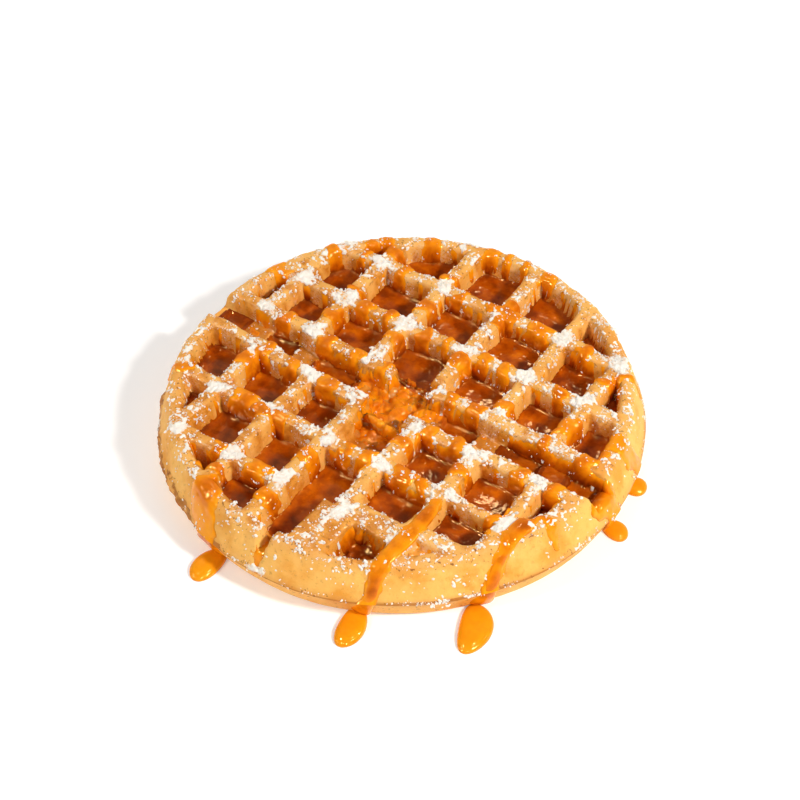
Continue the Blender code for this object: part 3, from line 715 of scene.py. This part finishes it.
# Bands that end on the rim: the angle round it in degrees, and how wide.
RIM_BANDS = ((116, 6), (98.3, 6), (93.3, 3), (88, 3), (79.6, 6), (128.4, 6), (143.3, 5),
             (160, 8), (36.6, 4), (-155, 4), (12, 5), (-18, 4))
BAND_THICK, HIDDEN = 0.85, -0.3


def rounded_band(across, half_width, thickness):
    """Half an ellipse across a band, going on below zero outside it."""
    reach = np.abs(across) / np.maximum(half_width, 0.01)
    return np.where(reach < 1, thickness * np.sqrt(np.clip(1 - reach ** 2, 0, 1)),
                    np.maximum(-0.5 * (reach - 1) * half_width, HIDDEN))


def film_thickness(points, normals, depth):
    """Thickness of the poured syrup: the bands over the ridges, which narrow to an end down each
    wall, the bands over the rim, thin runs down the walls and a coat on what crumbled."""
    x, y, z = np.moveaxis(points, -1, 0)
    radius, angle = np.hypot(x, y), np.degrees(np.arctan2(y, x))
    fall = np.maximum(TOP_Z - z, 0)
    sway = 0.8 * waves(points[..., :2], 8, 41) + 0.35 * waves(points, 3.5, 42)
    ripple = waves(points, 5.0, 43)
    thick = np.full(x.shape, HIDDEN)
    draw = np.random.default_rng(5)
    crossed = [(y - ridge - (groove_shift(x) if abs(ridge) < 12 else 0), x, bands)
               for ridge, bands in BANDS_OVER_Y.items()]
    crossed += [(x - ridge, y, bands) for ridge, bands in BANDS_OVER_X.items()]
    for over, along, bands in crossed:
        for place, width in bands:
            ends = draw.uniform(7.5, 16.0, 2)
            end = np.where(over > 0, ends[0], ends[1])
            narrow = np.sqrt(np.clip(1 - (fall / end) ** 5, 0, 1)) * (np.abs(over) < 7.5)
            half = width / 2 * narrow * (1 + 0.12 * step(2, 8, fall) + 0.12 * ripple)
            body = rounded_band(along - place - sway, half, BAND_THICK * (1 - 0.35 * step(1, 6, fall)))
            body = body + 0.12 * ripple * (body > 0.2)
            thick = np.maximum(thick, np.where(narrow > 0.05, body, HIDDEN))
    for place, width in RIM_BANDS:
        along = np.radians((angle - place + 180) % 360 - 180) * radius
        narrow = np.sqrt(np.clip(1 - (fall / draw.uniform(6.0, 12.0)) ** 4, 0, 1))
        body = rounded_band(along - sway, width / 2 * narrow, 0.8 * BAND_THICK)
        thick = np.maximum(thick, np.where((radius > 77.5) & (narrow > 0.05), body, HIDDEN))
    wall = step(0.6, 2.5, depth) * (radius < 81.5)
    facing_y = np.abs(normals[..., 1]) > np.abs(normals[..., 0])
    runs = waves(points[..., :2], 4.2, 45) + 0.5 * waves(points[..., :2], 14, 48)
    runs = runs - np.where(facing_y, 0.7, 1.5)
    thick = np.maximum(thick, np.where(wall > 0.3, np.clip(0.35 * runs, HIDDEN, 0.3) * wall, HIDDEN))
    torn = crumbling(points[..., :2]) * step(2.0, 4.0, depth)
    coat = np.clip(0.38 + 0.5 * waves(points, 4, 46), HIDDEN, 0.5)
    return np.maximum(thick, np.where(torn > 0.4, coat, HIDDEN))


# How far below the ridges the syrup stands in each well, and the wells that hold none.
draw_levels = np.random.default_rng(7)
pool_drop = {name: 9.0 + 0.7 * draw_levels.uniform(-1, 1) for name, *_ in wells}
pool_drop |= {"s3_4": 9.6, "g_2": 8.9, "g_3": 9.4, "g_4": 8.4, "g_5": 8.2, "g_0": 8.2}
DRY = ("s3_5", "n2_0", "s3_1", "s1_3")
NO_POOL = -9.0


def pool_levels(points):
    """Height of the standing syrup at each point, raised a little where it climbs the walls, and
    far below where there is none."""
    plan = uneven(points[..., :2])
    level = np.full(points.shape[:-1], NO_POOL)
    for name, box, deep, rim in wells:
        if name in DRY or not well_scale[name]:
            continue
        near = within(plan, box)
        inset = -well_distance(plan[near], box, rim) / well_scale[name]
        edge = 0.97 * EDGE_ROUND + DRAFT * (pool_drop[name] - 1.7)
        climb = 0.9 * np.exp(-np.maximum(inset - edge, 0) / 0.9)
        here = np.where(inset > edge - 1.6, TOP_Z - pool_drop[name] + climb, NO_POOL)
        level[near] = np.maximum(level[near], here)
    trough = -trough_distance(plan)
    edge = 0.97 * EDGE_ROUND + DRAFT * 8.9
    here = TOP_Z - 10.6 + 0.9 * np.exp(-np.maximum(trough - edge, 0) / 0.9)
    level = np.where(trough > edge - 1.6, np.maximum(level, here), level)
    here = np.interp(np.linalg.norm(plan, axis=-1), (70, 76, 82, 85.5, 86.5, 87.5, 88.5, 89.5),
                     (13.6, 14.6, 17.2, 17.6, 16.8, 14.6, 11.8, 10.4))
    level = np.where(notch_inset(plan) > 0.1, np.maximum(level, here), level)
    return level + 0.04 * waves(points[..., :2], 11, 44)


def flow_thickness(points, path, widths, high, seed):
    """Thickness of a run of syrup along a path over the surface: half an ellipse across it."""
    stray = 0.5 * waves(points, 5.0, seed)
    best = np.full(points.shape[:-1], HIDDEN)
    for a, b, from_width, to_width in zip(path[:-1], path[1:], widths[:-1], widths[1:]):
        span = b - a
        share = np.clip(((points - a) @ span) / (span @ span), 0, 1)
        off = np.linalg.norm(points - a - share[..., None] * span, axis=-1) + stray
        half = (from_width + (to_width - from_width) * share) / 2
        best = np.maximum(best, rounded_band(np.maximum(off, 0), half, high))
    return best


def side_at(degrees, height):
    """The side's surface at an angle and a height."""
    upper, lower = SIDE[::-1], UNDER_SIDE
    outline = np.concatenate([lower[1:], upper[:-1]])
    angle = np.radians(degrees)
    radius = np.interp(height, outline[:, 1], outline[:, 0]) + wobble(angle)
    share = np.clip((height - PARTING_Z) / 11.7, 0, 1)
    plan = np.stack([radius * np.cos(angle), radius * np.sin(angle)], axis=-1) + LEAN * share[..., None]
    return np.dstack([plan[None], height[None]])[0]


def down_the_side(angles, heights):
    return side_at(np.array(angles, float), np.array(heights, float))


def over_the_rim(top_points, angles, heights):
    """A path over the top face, then down the side."""
    return np.concatenate([np.array(top_points, float), down_the_side(angles, heights)])


LOW_STEPS = (8, 4, 1.2)
FIRST = over_the_rim(((42.4, -39.5, 24.0), (42.4, -44.0, 24.3), (42.5, -51.5, 24.3), (42.0, -59.2, 24.3),
                      (41.4, -67.9, 24.2)),
                     (-60.7, -61.6, -62.6, -64.0, -65.0, -65.6), (21.8, 16.3, 11.5) + LOW_STEPS)
SECOND = over_the_rim(((72.9, -27.5, 23.0), (72.7, -30.5, 24.1), (71.7, -35.5, 24.3),
                       (71.2, -40.0, 24.0)),
                      (-32.0, -34.4, -35.8, -36.9, -37.6, -38.0), (21.2, 15.5, 11.5) + LOW_STEPS)
THIRD = over_the_rim(((-28.5, -75.0, 23.4), (-29.0, -78.0, 24.1)),
                     (-109.4, -107.6, -106.0, -105.4, -104.8, -104.4), (21.6, 16.5, 11.5) + LOW_STEPS)
FOURTH = over_the_rim(((52.0, -3.0, 15.5), (70.0, -3.0, 16.6), (78.0, -2.8, 16.6), (84.0, -2.2, 16.6)),
                      (-1.1, -0.6, 0.2, 0.8, 1.5, 2.0), (16.4, 14.5, 11.5) + LOW_STEPS)
FIFTH = over_the_rim(((73.0, 22.0, 24.2), (77.6, 19.3, 24.3), (81.6, 18.4, 24.0)),
                     (12.8, 14.0, 15.2, 15.5, 15.6, 15.7), (20.5, 15.5, 11.5) + LOW_STEPS)
# Each run's path, its widths along the path and its height.
FLOWS = (
    (FIRST, (4.6, 5.4, 6.2, 5.8, 5.8, 6.0, 5.2, 5.4, 6.0, 7.0, 8.0), 0.7),
    (SECOND, (6.0, 6.5, 6.5, 6.0, 5.0, 5.0, 5.6, 6.5, 8.0, 9.0), 0.8),
    (THIRD, (9.0, 13.0, 14.0, 13.5, 12.0, 11.0, 10.0, 9.5), 0.9),
    (FOURTH, (17.0, 17.5, 17.0, 15.0, 12.0, 9.5, 7.5, 6.5, 6.0, 7.0), 1.3),
    (FIFTH, (4.0, 7.0, 8.0, 8.0, 7.0, 6.5, 5.5, 5.5, 6.5), 0.6),
)

thick = film_thickness(fine_points, fine_normals, fine_depth)
for seed, (path, widths, high) in enumerate(FLOWS, 51):
    thick = np.maximum(thick, flow_thickness(fine_points, path, widths, high, seed))
level = pool_levels(fine_points)
film = fine_points + fine_normals * thick[..., None]
pooled = (level > film[..., 2]) & (level > -5)
sheet = np.where(pooled[..., None], np.dstack([fine_points[..., :2], level]), film)
# The film is drawn darker the lower it lies on a wall, though it thins there, and darker still just
# above the pools. This is painted shade in the wells, halved where the bake crumbled.
painted_wall_shade = 0.19 * np.maximum(TOP_Z - fine_points[..., 2], 0) * step(88, 82, np.hypot(*fine_points.T[:2]).T)
under_level = level - fine_points[..., 2]
# Pools are dark for their depth. They are drawn darker still where they are shallow against the walls,
# which is painted shade at the walls' feet.
pool_depth_and_shade = 3.9 + 1.2 * step(2.8, 0.6, under_level) + 0.6 * waves(fine_points[..., :2], 9, 61)
pool_depth_and_shade = 1.3 + (pool_depth_and_shade - 1.3) * step(78, 73, -fine_points[..., 1])
near_pool = step(4.0, 0.0, -under_level) * (level > -5)
painted_wall_shade = painted_wall_shade * (1 - 0.5 * crumbling(fine_points[..., :2])) + 2.2 * near_pool
in_trough = step(3.0, -1.0, trough_distance(fine_points[..., :2]))
pool_depth_and_shade = pool_depth_and_shade - 1.2 * in_trough * step(-74, -70, fine_points[..., 1])
ragged = near_ragged_well(fine_points, 13, 8)
on_side = step(83.0, 87.0, np.linalg.norm(fine_points[..., :2], axis=-1))
coated = 1.9 * np.maximum(thick, 0) * (1 - 0.6 * on_side) + painted_wall_shade + 0.9 * ragged
syrup_depth_and_shade = np.where(pooled, pool_depth_and_shade, coated)
shown = (pooled | (thick > 0)).ravel()
cells = grid_faces(FINE, FINE)
cells = cells[shown[cells].any(axis=1)]
used, packed = np.unique(cells, return_inverse=True)
syrup_piece = make_piece("syrup_pour", sheet.reshape(-1, 3)[used], packed.reshape(cells.shape))
set_values(syrup_piece, "syrup_depth_and_shade", syrup_depth_and_shade.ravel()[used])
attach(syrup_piece, "root")
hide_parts(*[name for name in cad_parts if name.startswith("syrup_")])

amber, n, shader = new_material("amber_syrup")
shade = n.add("ShaderNodeValToRGB")
DEEPEST = 5.0
stops = ((0.0, (0.50, 0.15, 0.006, 1)), (0.05, (0.80, 0.26, 0.006, 1)), (0.12, (0.90, 0.32, 0.005, 1)),
         (0.2, (0.87, 0.27, 0.004, 1)), (0.36, (0.69, 0.165, 0.002, 1)), (0.55, (0.48, 0.09, 0.001, 1)),
         (0.75, (0.36, 0.057, 0.0005, 1)), (1.0, (0.21, 0.028, 0.0005, 1)))
while len(shade.color_ramp.elements) < len(stops):
    shade.color_ramp.elements.new(0.5)
for element, (place, colour) in zip(shade.color_ramp.elements, stops):
    element.position, element.color = place, colour
cloud = n.math("MULTIPLY", n.ramp(n.noise(100.0, 2.0), 0.3, 0.72), 0.5)
grain = n.math("MULTIPLY", n.ramp(n.noise(430.0, 2.0), 0.35, 0.65), 0.22)
# The ramp darkens with the syrup's depth and with the painted shade carried in the same values.
deep = n.math("MULTIPLY", n.value("syrup_depth_and_shade"), n.math("ADD", 0.64, n.math("ADD", cloud, grain)))
n.join(n.math("DIVIDE", deep, DEEPEST), shade.inputs["Fac"])
n.join(shade.outputs["Color"], shader.inputs["Base Color"])
shader.inputs["Roughness"].default_value = 0.08
shader.inputs["IOR"].default_value = 1.48
shader.inputs["Specular IOR Level"].default_value = 0.5
shader.inputs["Specular Tint"].default_value = (1.0, 0.62, 0.24, 1)
shader.inputs["Subsurface Weight"].default_value = 0.12
shader.inputs["Subsurface Radius"].default_value = (0.004, 0.0012, 0.0002)
shader.inputs["Subsurface Scale"].default_value = 1.0
swell = n.math("MULTIPLY", n.noise(140.0, 1.0), 0.7)
ripples = n.math("MULTIPLY", n.noise(520.0, 1.0), 0.35)
n.join(n.bump(n.math("ADD", swell, ripples), 0.0006, 0.35), shader.inputs["Normal"])
syrup_piece.data.materials.append(amber)

# The syrup that ran over the rim
# Threads that ran down the side, each to a flat round drop on the table.

DROP_HIGH = 2.6


def eased(values, rounds=6):
    """Rows of values smoothed by repeated means of neighbours, the ends kept."""
    values = np.array(values, float)
    for _ in range(rounds):
        values[1:-1] = (values[:-2] + 2 * values[1:-1] + values[2:]) / 4
    return values


def syrup_thread(path, widths, swell, sides=20, count=64):
    """A closed thread along a path: half an ellipse above the surface and a thin one below, drawn
    to a point at both ends. Returns its points, triangles and thickness, with painted shade at its
    edges."""
    path, widths = np.asarray(path, float), np.asarray(widths, float)
    along = np.concatenate([[0], np.cumsum(np.linalg.norm(np.diff(path, axis=0), axis=1))])
    where = np.linspace(0, along[-1], count)
    line = eased(np.column_stack([np.interp(where, along, path[:, k]) for k in range(3)]), 8)
    width = eased(np.interp(where, along, widths), 8)
    way = np.gradient(line, axis=0)
    way /= np.linalg.norm(way, axis=1, keepdims=True)
    out = np.column_stack([line[:, :2] / np.linalg.norm(line[:, :2], axis=1, keepdims=True),
                           np.full(count, 0.25)])
    on_top = step(82.0, 85.5, np.hypot(line[:, 0], line[:, 1]))[:, None]
    out = out * on_top + np.array([0, 0, 1.0]) * (1 - on_top)
    out -= way * (out * way).sum(axis=1, keepdims=True)
    out /= np.linalg.norm(out, axis=1, keepdims=True)
    side = np.cross(way, out)
    share = np.linspace(0, 1, count)
    taper = np.sqrt(np.clip(np.minimum(share / 0.06, (1 - share) / 0.04), 0, 1))
    beat = 1 + 0.12 * np.sin(9 * share + width[0]) + 0.07 * np.sin(23 * share)
    turn = np.linspace(0, 2 * np.pi, sides, endpoint=False)
    half = (width / 2 * taper * beat)[:, None, None]
    lift = np.where(np.sin(turn) > 0, np.sin(turn) * swell, np.sin(turn) * 0.8)[None, :, None]
    ring = (line[:, None] + side[:, None] * half * np.cos(turn)[None, :, None]
            + out[:, None] * lift * taper[:, None, None])
    points = ring.reshape(-1, 3)
    faces = split_quads(grid_faces(count, sides, wrap=True))
    # Thicker over the middle of the thread, and drawn darker along both edges where it meets the
    # surface: painted shade.
    deep = (1.4 * np.clip(np.sin(turn), 0, 1) + 1.3 * step(0.4, 0.1, np.abs(np.sin(turn))))[None, :]
    deep = deep * swell * taper[:, None] * (1 + 0.25 * waves(line, 6, 62))[:, None]
    return points, faces[:, ::-1], deep.ravel()


def syrup_drop(degrees, distance, length, width, lean, high=DROP_HIGH, sides=72, rings=22):
    """A closed round drop, flat below: its outline is an egg along the radius, leaning to one side
    at its outer end, and its section a dome with a short steep edge."""
    turn = np.linspace(0, 2 * np.pi, sides, endpoint=False)
    out = np.array([math.cos(math.radians(degrees)), math.sin(math.radians(degrees))])
    side = np.array([-out[1], out[0]])
    share = np.cos(turn)
    across = (0.86 + 0.14 * share) * width / 2 * np.sin(turn) + lean * ((share + 1) / 2) ** 2
    outline = (distance + share * length / 2)[:, None] * out + across[:, None] * side
    middle = outline.mean(axis=0)
    lift = np.linspace(0, np.pi / 2, rings)
    scale, height = np.cos(lift) ** 0.75, high * np.sin(lift) ** 0.85
    scale = np.concatenate([[0.02, 0.6, 0.96], scale[:-1], [0.02]])
    height = np.concatenate([[0, 0, 0], height[:-1], [high]])
    plan = middle + (outline - middle)[None] * scale[:, None, None]
    points = np.dstack([plan, np.repeat(height[:, None], sides, axis=1)]).reshape(-1, 3)
    faces = split_quads(grid_faces(len(scale), sides, wrap=True))
    return points, faces, 0.3 + 0.16 * points[:, 2]


def joined_parts(parts):
    """Several bodies' points, triangles and thickness, with painted shade on the threads' edges, put
    together as one.
    """
    counts = np.cumsum([0] + [len(points) for points, _, _ in parts])
    return (np.concatenate([points for points, _, _ in parts]),
            np.concatenate([faces + start for (_, faces, _), start in zip(parts, counts)]),
            np.concatenate([deep for _, _, deep in parts]))


runs_over = joined_parts([
    syrup_thread(FIRST, FLOWS[0][1], 1.2),
    syrup_thread(SECOND, FLOWS[1][1], 1.3),
    syrup_thread(THIRD[4:], (11.0, 11.0, 10.0, 9.5), 1.3),
    syrup_thread(FOURTH[6:], (7.0, 6.5, 6.0, 7.0), 1.2),
    syrup_thread(FIFTH[5:], (5.0, 5.0, 5.5, 6.5), 1.2),
    syrup_drop(-65.9, 92.0, 18.4, 11.4, -2.5),
    syrup_drop(-39.3, 95.0, 19.5, 15.0, -7.0),
    syrup_drop(-103.6, 92.3, 16.8, 11.4, 1.8),
    syrup_drop(1.5, 90.3, 11.0, 9.5, -1.5, 2.2),
    syrup_drop(15.5, 89.3, 9.4, 10.0, 0.0, 2.2),
])
runs_piece = make_piece("syrup_runs", runs_over[0], runs_over[1])
set_values(runs_piece, "syrup_depth_and_shade", runs_over[2])
runs_piece.data.materials.append(amber)
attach(runs_piece, "root")

# The powdered sugar
# Fine white sugar sifted over the waffle, which has drawn damp: it lies in small crusts where it
# fell thickest, with loose lumps and grains between them.

SUGAR_HIGH, SUGAR_EDGE = 0.9, 0.705


def twice_as_fine(values):
    """The grid with a point added halfway along every row and column."""
    rows, columns = values.shape[:2]
    finer = np.empty((2 * rows - 1, 2 * columns - 1) + values.shape[2:])
    finer[::2, ::2] = values
    finer[1::2, ::2] = (values[:-1] + values[1:]) / 2
    finer[:, 1::2] = (finer[:, :-2:2] + finer[:, 2::2]) / 2
    return finer


cover, _ = sugar_cover(fine_points, fine_normals, fine_depth)
dry = np.where(thick > 0.05, 0.3, 1.0) * np.where(pooled, 0.1, 1.0)
lie = np.where((thick > 0)[..., None], film, fine_points)
dense, dense_ways = twice_as_fine(lie), twice_as_fine(fine_normals)
clumps = 0.22 * waves(dense, 4.2, 71, 40) + 0.27 * waves(dense, 1.9, 72, 60)
heap = SUGAR_HIGH * (twice_as_fine(cover * dry) - SUGAR_EDGE) + clumps
heap = np.minimum(heap, 0.25 + 0.35 * heap)
rough = 0.07 * waves(dense, 0.9, 73, 40)
caps = dense + dense_ways * np.where(heap > 0, heap + rough, np.maximum(heap, -0.25))[..., None]
covered = (heap > 0).ravel()
cells = grid_faces(*heap.shape)
cells = cells[covered[cells].any(axis=1)]
used, packed = np.unique(cells, return_inverse=True)
sugar_caps = make_piece("sugar_crusts", caps.reshape(-1, 3)[used], packed.reshape(cells.shape))
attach(sugar_caps, "root")

ball = bmesh.new()
bmesh.ops.create_icosphere(ball, subdivisions=1, radius=1.0)
BALL_POINTS = np.array([v.co[:] for v in ball.verts])
BALL_FACES = np.array([[v.index for v in f.verts] for f in ball.faces])
ball.free()


def scattered(name, centres, ways, sizes, seed):
    """Small lumps of twenty faces, each dented its own way and lying flat along the surface."""
    draw = np.random.default_rng(seed)
    count = len(centres)
    along = np.cross(ways, draw.normal(size=(count, 3)))
    along /= np.linalg.norm(along, axis=1, keepdims=True)
    turned = np.stack([along, np.cross(ways, along), ways], axis=1)
    stretch = np.column_stack([draw.uniform(0.8, 1.7, count), draw.uniform(0.6, 1.0, count),
                               draw.uniform(0.45, 0.8, count)])
    shape = BALL_POINTS[None] * draw.uniform(0.75, 1.25, (count, 12, 1)) * stretch[:, None]
    points = centres[:, None] + sizes[:, None, None] * (shape @ turned)
    faces = BALL_FACES[None] + 12 * np.arange(count)[:, None, None]
    return make_piece(name, points.reshape(-1, 3), faces.reshape(-1, 3), smooth=False)


def spots(weights, count, seed):
    """Random points of the fine surface, as likely as their weights, with small random offsets."""
    draw = np.random.default_rng(seed)
    area = np.linalg.norm(np.cross(np.gradient(fine_points, axis=1), np.gradient(fine_points, axis=0)),
                          axis=-1)
    chance = (weights * area).ravel()
    chosen = draw.choice(len(chance), count, p=chance / chance.sum())
    centres = lie.reshape(-1, 3)[chosen] + draw.uniform(-0.2, 0.2, (count, 3))
    return centres, fine_normals.reshape(-1, 3)[chosen], draw


HEAPS, HEAP_LUMPS, GRAINS = 720, 5, 3900
centres, ways, draw = spots(cover * dry, HEAPS, 63)
heap_size = draw.uniform(0.4, 1.0, HEAPS) ** 1.5
spread = draw.normal(size=(HEAPS, HEAP_LUMPS, 3))
spread -= ways[:, None] * (spread * ways[:, None]).sum(axis=-1, keepdims=True)
share = draw.uniform(0.4, 1.0, (HEAPS, HEAP_LUMPS))
lumps = centres[:, None] + spread * (0.9 * heap_size)[:, None, None] + ways[:, None] * 0.12
sizes = (0.8 * heap_size[:, None] * share).ravel()
grains, grain_ways, draw = spots((cover + 0.006) * dry, GRAINS, 65)
lumps = np.concatenate([lumps.reshape(-1, 3), grains + 0.1 * grain_ways])
lump_ways = np.concatenate([np.repeat(ways, HEAP_LUMPS, axis=0), grain_ways])
sizes = np.concatenate([sizes, draw.uniform(0.13, 0.36, GRAINS)])
sugar_piece = scattered("sugar_lumps", lumps, lump_ways, sizes, 64)
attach(sugar_piece, "root")

white, n, shader = new_material("powdered_sugar")
DRY_SUGAR, DAMP_SUGAR = (0.90, 0.865, 0.81, 1), (0.80, 0.71, 0.60, 1)
n.join(n.blend(n.noise(500.0, 2.0), DRY_SUGAR, DAMP_SUGAR), shader.inputs["Base Color"])
shader.inputs["Roughness"].default_value = 0.75
shader.inputs["Subsurface Weight"].default_value = 0.3
shader.inputs["Subsurface Radius"].default_value = (0.0012, 0.001, 0.0008)
shader.inputs["Subsurface Scale"].default_value = 1.0
n.join(n.bump(n.noise(2500.0, 2.0), 0.0002, 0.5), shader.inputs["Normal"])
sugar_piece.data.materials.append(white)
sugar_caps.data.materials.append(white)
